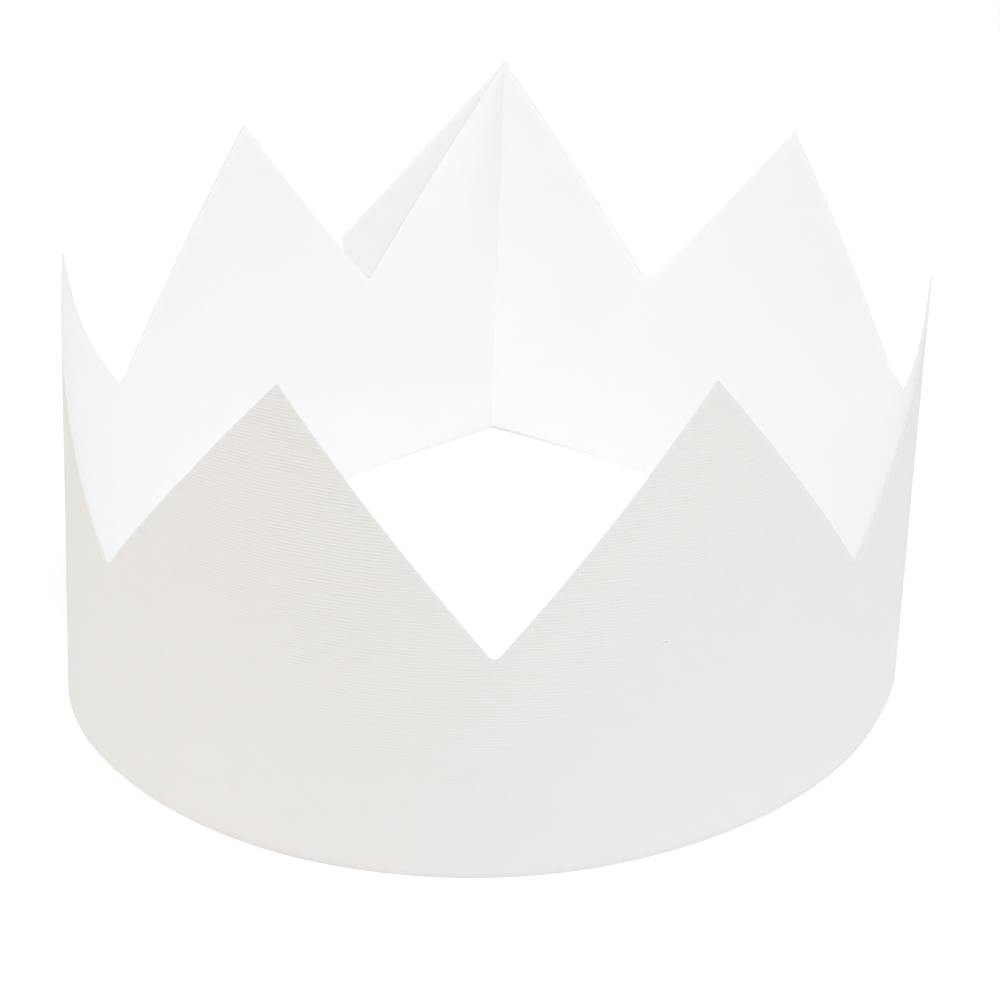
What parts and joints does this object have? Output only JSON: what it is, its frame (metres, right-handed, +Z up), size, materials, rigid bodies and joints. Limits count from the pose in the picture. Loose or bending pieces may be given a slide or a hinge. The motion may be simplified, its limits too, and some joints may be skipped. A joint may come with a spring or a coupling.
{
  "type": "paper crown",
  "caption": "Paper crown: one strip of white textured card cut into a row of triangular points and bent into a ring to wear on the head.",
  "frame": {"origin": "middle of the bounding box in plan, on the plane of the lower edge", "axes": "+Z up towards the points, -Y the front, +Y the back with the seam, +X to the right as seen from the front"},
  "size_m": [0.1728, 0.2142, 0.095],
  "materials": {
    "card": "matte white card with a fine pressed linen texture"
  },
  "bodies": {
    "root": {"crown_band": "card"}
  },
  "joints": []
}
